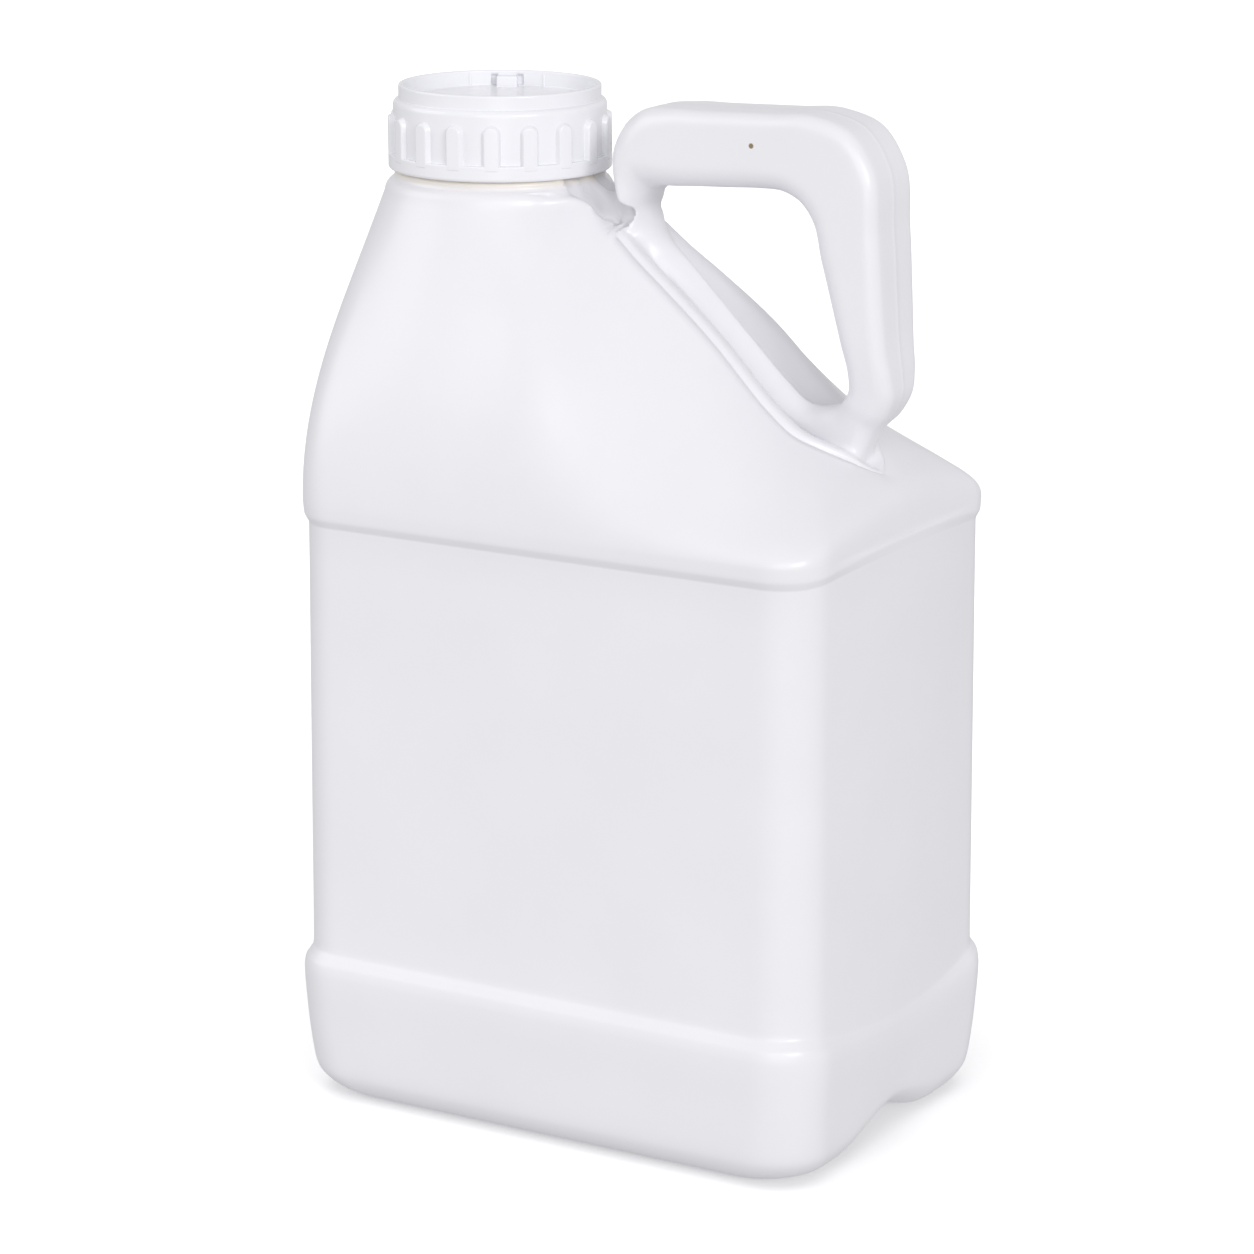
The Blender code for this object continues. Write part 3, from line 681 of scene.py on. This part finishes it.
def rib_tree(material):
    """Sets arch-topped ribs around the cap's wall.

    Each rib is a block whose outer face swells by the distance from the rib's outline, so that it
    rises from the wall in a soft step, and is bent to the wall's curve."""
    tree = bpy.data.node_groups.new("cap_ribs", "GeometryNodeTree")
    tree.interface.new_socket("Geometry", in_out="INPUT", socket_type="NodeSocketGeometry")
    sizes = ("Wall Radius", "Relief", "Sink", "Width", "Bottom", "Top", "Edge", "First Angle", "Centre X")
    for name in sizes:
        tree.interface.new_socket(name, in_out="INPUT", socket_type="NodeSocketFloat")
    tree.interface.new_socket("Count", in_out="INPUT", socket_type="NodeSocketInt")
    tree.interface.new_socket("Geometry", in_out="OUTPUT", socket_type="NodeSocketGeometry")
    given = add_node(tree, "NodeGroupInput").outputs

    def calculate(operation, first, second=0.0):
        return add_node(tree, "ShaderNodeMath", {"operation": operation}, _0=first, _1=second).outputs[0]

    block = add_node(tree, "GeometryNodeMeshCube", Vertices_X=2, Vertices_Y=33, Vertices_Z=65)
    position = add_node(tree, "GeometryNodeInputPosition").outputs[0]
    place = add_node(tree, "ShaderNodeSeparateXYZ", Vector=position)
    margin = calculate("MULTIPLY", given["Edge"], 4.0)
    across = calculate("MULTIPLY", place.outputs["Y"], calculate("ADD", given["Width"], margin))
    tall = calculate("SUBTRACT", calculate("ADD", given["Top"], margin), given["Bottom"])
    share_up = calculate("ADD", place.outputs["Z"], 0.5)
    up = calculate("ADD", given["Bottom"], calculate("MULTIPLY", share_up, tall))
    half = calculate("MULTIPLY", given["Width"], 0.5)
    above = calculate("MAXIMUM", calculate("SUBTRACT", up, calculate("SUBTRACT", given["Top"], half)), 0.0)
    squares = calculate("ADD", calculate("MULTIPLY", across, across), calculate("MULTIPLY", above, above))
    swell = add_node(tree, "ShaderNodeMapRange", {"interpolation_type": "SMOOTHSTEP"},
                     Value=calculate("SQRT", squares), From_Min=calculate("ADD", half, given["Edge"]),
                     From_Max=calculate("SUBTRACT", half, given["Edge"]),
                     To_Min=calculate("MULTIPLY", given["Sink"], -0.1), To_Max=given["Relief"])
    outer = calculate("GREATER_THAN", place.outputs["X"], 0.0)
    raised = calculate("MULTIPLY", outer, calculate("ADD", swell.outputs["Result"], given["Sink"]))
    radius = calculate("ADD", calculate("SUBTRACT", given["Wall Radius"], given["Sink"]), raised)
    bend = calculate("DIVIDE", across, given["Wall Radius"])
    spot = add_node(tree, "ShaderNodeCombineXYZ", X=calculate("MULTIPLY", radius, calculate("COSINE", bend)),
                    Y=calculate("MULTIPLY", radius, calculate("SINE", bend)), Z=up)
    rib = add_node(tree, "GeometryNodeSetPosition", Geometry=block.outputs["Mesh"],
                   Position=spot.outputs["Vector"])
    points = add_node(tree, "GeometryNodePoints", Count=given["Count"])
    index = add_node(tree, "GeometryNodeInputIndex").outputs[0]
    turn = calculate("ADD", given["First Angle"],
                     calculate("DIVIDE", calculate("MULTIPLY", index, 2.0 * math.pi), given["Count"]))
    angles = add_node(tree, "ShaderNodeCombineXYZ", Z=turn)
    facing = add_node(tree, "FunctionNodeEulerToRotation", Euler=angles.outputs[0])
    around = add_node(tree, "GeometryNodeInstanceOnPoints", Points=points.outputs[0],
                      Instance=rib.outputs[0], Rotation=facing.outputs[0])
    centre = add_node(tree, "ShaderNodeCombineXYZ", X=given["Centre X"])
    moved = add_node(tree, "GeometryNodeTransform", Geometry=around.outputs[0],
                     Translation=centre.outputs[0])
    real = add_node(tree, "GeometryNodeRealizeInstances", Geometry=moved.outputs[0])
    done = add_node(tree, "GeometryNodeSetMaterial", Geometry=real.outputs[0], Material=material)
    add_node(tree, "NodeGroupOutput", Geometry=done.outputs[0])
    return tree


def from_tree(name, tree, values):
    """Evaluates a node tree once with the given input values and keeps its result as a plain mesh."""
    made = bpy.data.objects.new(name, bpy.data.meshes.new(name))
    bpy.context.scene.collection.objects.link(made)
    modifier = made.modifiers.new(name, "NODES")
    modifier.node_group = tree
    for item in tree.interface.items_tree:
        if item.in_out == "INPUT" and item.name in values:
            modifier[item.identifier] = values[item.name]
    graph = bpy.context.evaluated_depsgraph_get()
    plain = bpy.data.meshes.new_from_object(made.evaluated_get(graph))
    made.modifiers.remove(modifier)
    made.data = plain
    return made


def make_turned_cap():
    """The cap without its ribs: hollow below, with a shallow recess in its top."""
    floor = CAP_TOP - CAP_RECESS_DEPTH
    under = floor - CAP_FLOOR
    shoulder = []
    for k in range(9):
        angle = 0.5 * math.pi * k / 8
        shoulder.append((CAP_WALL_RADIUS - 1.55 * (1.0 - math.cos(angle)),
                         CAP_TOP - 6.5 + 1.9 * math.sin(angle), 0.0))
    corners = [(CAP_BORE_RADIUS - 12.0, under, 0.0), (CAP_BORE_RADIUS, under, 0.5),
               (CAP_BORE_RADIUS, CAP_BOTTOM, 0.3), (CAP_RIB_RADIUS, CAP_BOTTOM, 1.0),
               (CAP_RIB_RADIUS, RIB_BOTTOM, 0.45), (CAP_WALL_RADIUS, RIB_BOTTOM, 0.35),
               (CAP_WALL_RADIUS, CAP_TOP - 7.0, 0.0), *shoulder, (CAP_RIM_RADIUS, CAP_TOP - 4.45, 0.2),
               (CAP_RIM_RADIUS, CAP_TOP, 0.65), (CAP_RECESS_RADIUS, CAP_TOP, 0.5),
               (CAP_RECESS_RADIUS, floor, 0.5), (CAP_RECESS_RADIUS - 8.0, floor, 0.0)]
    return make_lathe("cap", rounded(corners), CAP_STEPS, NECK_X)


def make_block(name, angle, radius, height, sizes, rounding):
    """A small rounded block that stands at one angle in the cap's recess."""
    bm = bmesh.new()
    bmesh.ops.create_cube(bm, size=1.0)
    for vertex in bm.verts:
        out = radius + sizes[0] * vertex.co.x
        side = sizes[1] * vertex.co.y
        place = Vector((NECK_X + out * math.cos(angle) - side * math.sin(angle),
                        out * math.sin(angle) + side * math.cos(angle), height + sizes[2] * vertex.co.z))
        vertex.co = place * MM
    bm.normal_update()
    bmesh.ops.bevel(bm, geom=bm.edges, offset=rounding * MM, segments=4, profile=0.5, affect="EDGES")
    return mesh_object(name, bm)


def make_cap(material):
    """The screw cap with its ribs, and in its recess the small block, two pockets and two thin lines."""
    cap = make_turned_cap()
    floor = CAP_TOP - CAP_RECESS_DEPTH
    middle = math.radians(RIB_FIRST_ANGLE + 180.0)
    for away in (-POCKET_ANGLE, POCKET_ANGLE):
        pocket = make_block("pocket", middle + math.radians(away), CAP_RECESS_RADIUS - 0.3, floor + 1.9,
                            POCKET_SIZE, 0.8)
        combine(cap, pocket, "DIFFERENCE", "MANIFOLD")
    small = [make_block("boss", middle, CAP_RECESS_RADIUS - 1.6, floor + 1.55, BOSS_SIZE, 0.5)]
    for away in (-LINE_ANGLE, LINE_ANGLE):
        small.append(make_block("line", middle + math.radians(away), CAP_RECESS_RADIUS, floor + 1.9,
                                LINE_SIZE, 0.25))
    ribs = from_tree("ribs", rib_tree(material), {
        "Wall Radius": CAP_WALL_RADIUS * MM, "Relief": (CAP_RIB_RADIUS - CAP_WALL_RADIUS) * MM,
        "Sink": 1.2 * MM, "Width": RIB_WIDTH * MM, "Bottom": (RIB_BOTTOM - 1.5) * MM, "Top": RIB_TOP * MM,
        "Edge": 0.55 * MM, "First Angle": math.radians(RIB_FIRST_ANGLE), "Centre X": NECK_X * MM,
        "Count": RIB_COUNT})
    joined = bmesh.new()
    joined.from_mesh(cap.data)
    for piece in (*small, ribs):
        joined.from_mesh(piece.data)
        bpy.data.objects.remove(piece, do_unlink=True)
    joined.to_mesh(cap.data)
    joined.free()
    return cap


def new_material(name):
    material = bpy.data.materials.new(name)
    material.use_nodes = True
    material.node_tree.nodes.clear()
    return material


def soft_step(tree, value, start, end):
    """0 at the start and 1 at the end, both in millimetres, with a soft step between them."""
    return add_node(tree, "ShaderNodeMapRange", {"interpolation_type": "SMOOTHSTEP"}, Value=value,
                    From_Min=start * MM, From_Max=end * MM).outputs["Result"]


def near_point(tree, at, spot, inner, outer):
    """1 within the inner distance of a point, 0 beyond the outer one, all in millimetres."""
    away = add_node(tree, "ShaderNodeVectorMath", {"operation": "DISTANCE"}, _0=at,
                    _1=[value * MM for value in spot])
    return soft_step(tree, away.outputs["Value"], outer, inner)


def blown_hdpe():
    """Blow-moulded HDPE, fluorinated: an opaque milky white with a satin skin.

    The eye sees a barely violet white with a faint cloudiness some centimetres wide, a fine
    orange-peel from the sand-blasted mould and a darker cream colour right under the cap. The needle's
    small dimple on the handle is a dark brown spot of painted shade, as the dimple itself is not modelled."""
    material = new_material("blown_hdpe")
    tree = material.node_tree
    at = add_node(tree, "ShaderNodeTexCoord").outputs["Object"]
    # Clouds about 35 mm wide
    clouds = add_node(tree, "ShaderNodeTexNoise", Vector=at, Scale=28.0, Detail=3.0, Roughness=0.55)
    cloudy = add_node(tree, "ShaderNodeMix", {"data_type": "RGBA"}, _0=clouds.outputs["Fac"],
                      _6=linear("#e8e7eb"), _7=linear("#edecf0"))
    place = add_node(tree, "ShaderNodeSeparateXYZ", Vector=at)
    # Darker cream colour right under the cap, left of the slot
    high = soft_step(tree, place.outputs["Z"], 294.5, 298.5)
    left = soft_step(tree, place.outputs["X"], -8.0, -14.0)
    warm = add_node(tree, "ShaderNodeMath", {"operation": "MULTIPLY"}, _0=high, _1=left)
    creamy = add_node(tree, "ShaderNodeMix", {"data_type": "RGBA"}, _0=warm.outputs["Value"],
                      _6=cloudy.outputs[2], _7=linear("#e5ddcd"))
    # Painted shade: a dark brown spot where the needle left a small dimple, which is not modelled as a recess
    needle_dimple_shade = near_point(tree, at, NEEDLE_MARK, 0.6 * NEEDLE_RADIUS, NEEDLE_RADIUS)
    colour = add_node(tree, "ShaderNodeMix", {"data_type": "RGBA"}, _0=needle_dimple_shade, _6=creamy.outputs[2],
                      _7=linear("#8a7a58"))
    # Orange-peel grains about 0.9 mm wide, with broad shallow waves of the blown wall under them
    peel = add_node(tree, "ShaderNodeTexNoise", Vector=at, Scale=1100.0, Detail=2.0, Roughness=0.5)
    waves = add_node(tree, "ShaderNodeTexNoise", Vector=at, Scale=40.0, Detail=1.0, Roughness=0.4)
    gloss = add_node(tree, "ShaderNodeMapRange", Value=clouds.outputs["Fac"], From_Min=0.3, From_Max=0.7,
                     To_Min=0.28, To_Max=0.34)
    broad = add_node(tree, "ShaderNodeBump", Height=waves.outputs["Fac"], Strength=0.25, Distance=0.0006)
    fine = add_node(tree, "ShaderNodeBump", Height=peel.outputs["Fac"], Strength=0.2, Distance=0.00003,
                    Normal=broad.outputs["Normal"])
    shader = add_node(tree, "ShaderNodeBsdfPrincipled", Base_Color=colour.outputs[2],
                      Roughness=gloss.outputs["Result"], IOR=1.52, Normal=fine.outputs["Normal"])
    add_node(tree, "ShaderNodeOutputMaterial", Surface=shader.outputs["BSDF"])
    return material


def moulded_pp():
    """Injection-moulded PP, pigmented white: smoother and glossier than the jug.

    The eye sees small sharp highlights on its rim and ribs."""
    material = new_material("moulded_pp")
    tree = material.node_tree
    at = add_node(tree, "ShaderNodeTexCoord").outputs["Object"]
    # Flow clouds about 12 mm wide, only just there
    flow = add_node(tree, "ShaderNodeTexNoise", Vector=at, Scale=85.0, Detail=2.0, Roughness=0.5)
    colour = add_node(tree, "ShaderNodeMix", {"data_type": "RGBA"}, _0=flow.outputs["Fac"],
                      _6=linear("#ececf0"), _7=linear("#efeff3"))
    gloss = add_node(tree, "ShaderNodeMapRange", Value=flow.outputs["Fac"], From_Min=0.3, From_Max=0.7,
                     To_Min=0.17, To_Max=0.22)
    # Fine marks of the mould's polish, about 0.7 mm apart
    drag = add_node(tree, "ShaderNodeTexNoise", Vector=at, Scale=1400.0, Detail=1.0, Roughness=0.5)
    fine = add_node(tree, "ShaderNodeBump", Height=drag.outputs["Fac"], Strength=0.15, Distance=0.00001)
    shader = add_node(tree, "ShaderNodeBsdfPrincipled", Base_Color=colour.outputs[2],
                      Roughness=gloss.outputs["Result"], IOR=1.49, Normal=fine.outputs["Normal"])
    add_node(tree, "ShaderNodeOutputMaterial", Surface=shader.outputs["BSDF"])
    return material


def studio_paper():
    """White seamless paper, lit until it is almost pure white."""
    material = new_material("studio_paper")
    tree = material.node_tree
    at = add_node(tree, "ShaderNodeTexCoord").outputs["Object"]
    fibres = add_node(tree, "ShaderNodeTexNoise", Vector=at, Scale=220.0, Detail=2.0)
    colour = add_node(tree, "ShaderNodeMix", {"data_type": "RGBA"}, _0=fibres.outputs["Fac"],
                      _6=linear("#f8f8f8"), _7=linear("#fafafa"))
    shader = add_node(tree, "ShaderNodeBsdfPrincipled", Base_Color=colour.outputs[2], Roughness=0.9,
                      Emission_Color=linear("#ffffff"), Emission_Strength=0.10)
    add_node(tree, "ShaderNodeOutputMaterial", Surface=shader.outputs["BSDF"])
    return material


def finish_piece(piece, material, node):
    """Gives a piece its material and smooth faces, and puts it on the part's body."""
    piece.data.materials.clear()
    piece.data.materials.append(material)
    piece.data.polygons.foreach_set("use_smooth", [True] * len(piece.data.polygons))
    piece.data.polygons.foreach_set("material_index", [0] * len(piece.data.polygons))
    piece.data.update()
    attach(piece, "root")
    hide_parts(node)


def make_floor(material):
    bm = bmesh.new()
    bmesh.ops.create_grid(bm, x_segments=2, y_segments=2, size=9.0)
    floor = mesh_object("floor", bm)
    floor.data.materials.append(material)
    # The paper throws no light back on the jug, whose lower side the even studio light fills
    floor.visible_diffuse = False
    floor.visible_glossy = False
    return floor


def direction(turn, height):
    """The direction of a place turned round from the long face and raised above level, in degrees."""
    turn, height = math.radians(turn), math.radians(height)
    return Vector((math.sin(turn) * math.cos(height), -math.cos(turn) * math.cos(height), math.sin(height)))


# The view fitted to the photograph, in degrees and millimetres
CAMERA_TURN = 30.624
CAMERA_PITCH = 14.615
CAMERA_DISTANCE = 1398.34
CAMERA_SIDE = -4.917
CAMERA_AIM = 154.646
CAMERA_LENS = 126.28


def make_camera():
    """The photograph's view, round from the long face and a little above level."""
    turn = math.radians(CAMERA_TURN)
    back = direction(CAMERA_TURN, CAMERA_PITCH)
    right = Vector((math.cos(turn), math.sin(turn), 0.0))
    up = back.cross(right)
    eye = right * CAMERA_SIDE * MM + Vector((0.0, 0.0, CAMERA_AIM * MM)) + back * CAMERA_DISTANCE * MM
    data = bpy.data.cameras.new("camera")
    data.sensor_width = 36.0
    data.lens = CAMERA_LENS
    data.clip_end = 50.0
    camera = bpy.data.objects.new("camera", data)
    bpy.context.scene.collection.objects.link(camera)
    matrix = Matrix((right, up, back)).transposed().to_4x4()
    matrix.translation = eye
    camera.matrix_world = matrix
    bpy.context.scene.camera = camera


def make_softbox(name, turn, height, spread, strength, only_on=None):
    """A soft light from one direction, in degrees; strength 1 whitens a surface that faces it."""
    data = bpy.data.lights.new(name, "SUN")
    data.energy = math.pi * strength
    data.angle = math.radians(spread)
    light = bpy.data.objects.new(name, data)
    bpy.context.scene.collection.objects.link(light)
    light.rotation_euler = direction(turn, height).to_track_quat("Z", "Y").to_euler()
    if only_on:
        lit = bpy.data.collections.new(name)
        lit.objects.link(only_on)
        light.light_linking.receiver_collection = lit


def make_studio():
    world = bpy.data.worlds.new("studio")
    bpy.context.scene.world = world
    world.use_nodes = True
    background = world.node_tree.nodes["Background"]
    background.inputs["Color"].default_value = linear("#fdfdff")
    background.inputs["Strength"].default_value = 0.57
    bpy.context.scene.view_settings.view_transform = "Standard"
    make_softbox("left_softbox", turn=-60.0, height=25.0, spread=45.0, strength=0.215)
    make_softbox("right_softbox", turn=62.0, height=20.0, spread=18.0, strength=0.275)
    make_softbox("front_softbox", turn=31.0, height=15.0, spread=50.0, strength=0.29)
    make_softbox("back_softbox", turn=200.0, height=20.0, spread=70.0, strength=0.06)
    floor = make_floor(studio_paper())
    make_softbox("paper_light", turn=20.0, height=75.0, spread=60.0, strength=0.35, only_on=floor)
    make_camera()


hdpe = blown_hdpe()
pp = moulded_pp()
jug = make_jug()
finish_piece(jug, hdpe, "jug_body")
cap = make_cap(pp)
finish_piece(cap, pp, "screw_cap")
make_studio()
